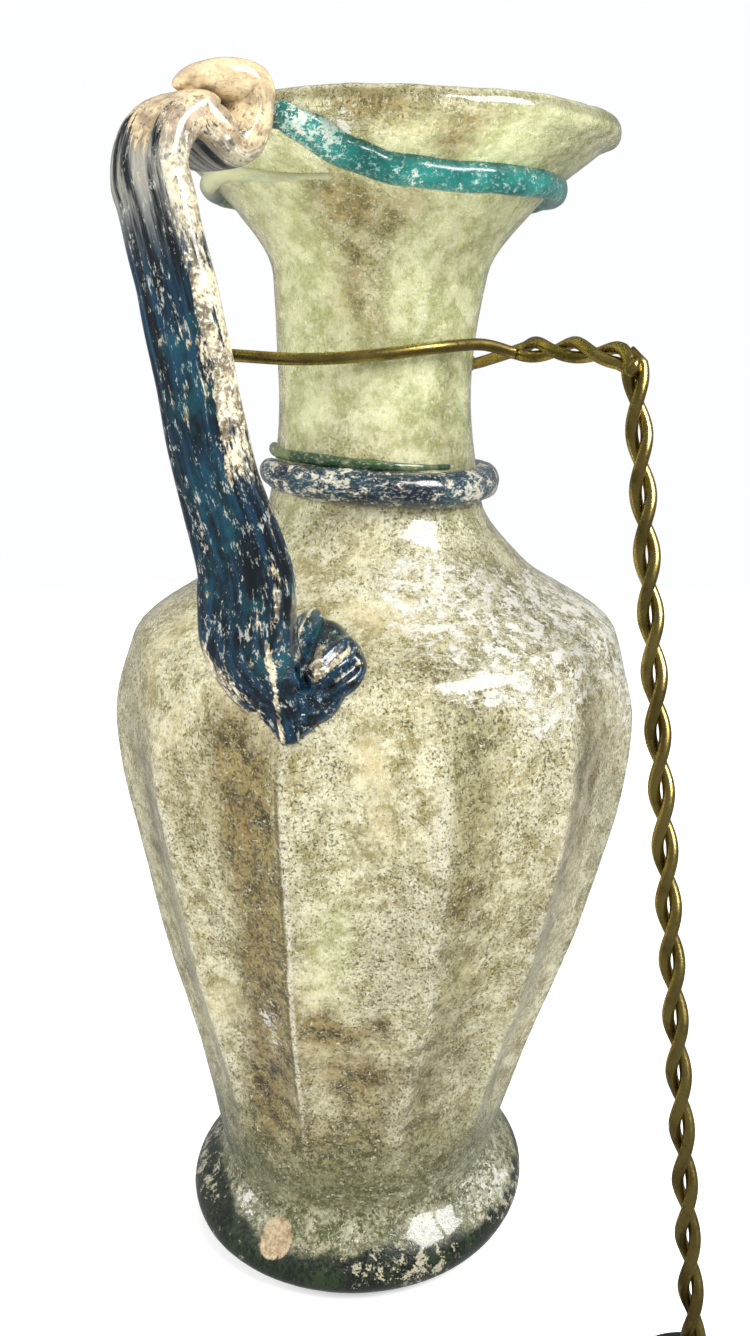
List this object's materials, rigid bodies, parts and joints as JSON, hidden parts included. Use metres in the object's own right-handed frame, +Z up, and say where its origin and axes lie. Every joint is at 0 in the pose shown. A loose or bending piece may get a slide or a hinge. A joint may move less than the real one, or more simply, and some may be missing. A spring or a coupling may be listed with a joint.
{
  "type": "glass jug",
  "caption": "Ribbed blown-glass jug with a funnel mouth, a combed strap handle with a thumb rest, wound glass trails, and the twisted brass wire cradle that steadies its neck.",
  "frame": {"origin": "middle of the underside of the jug's foot, on the surface it stands on", "axes": "+Z up, -Y towards the side that the picture shows, +X to the right of that view"},
  "size_m": [0.1092, 0.1117, 0.2028],
  "materials": {
    "pale_glass": "weathered, mottled cream over pale yellow-green",
    "blue_glass": "dark blue with cream weathering",
    "teal_glass": "turquoise, glossy with pitting",
    "brass_wire": "aged, satin",
    "clear_sleeve": "clear",
    "black_paint": "satin black"
  },
  "bodies": {
    "root": {"jug_body": "pale_glass", "handle": "blue_glass", "rim_trail": "teal_glass", "neck_trail": "blue_glass", "wire_strand_front": "brass_wire", "wire_strand_back": "brass_wire", "wire_sleeve": "clear_sleeve", "wire_foot": "black_paint"}
  },
  "joints": []
}
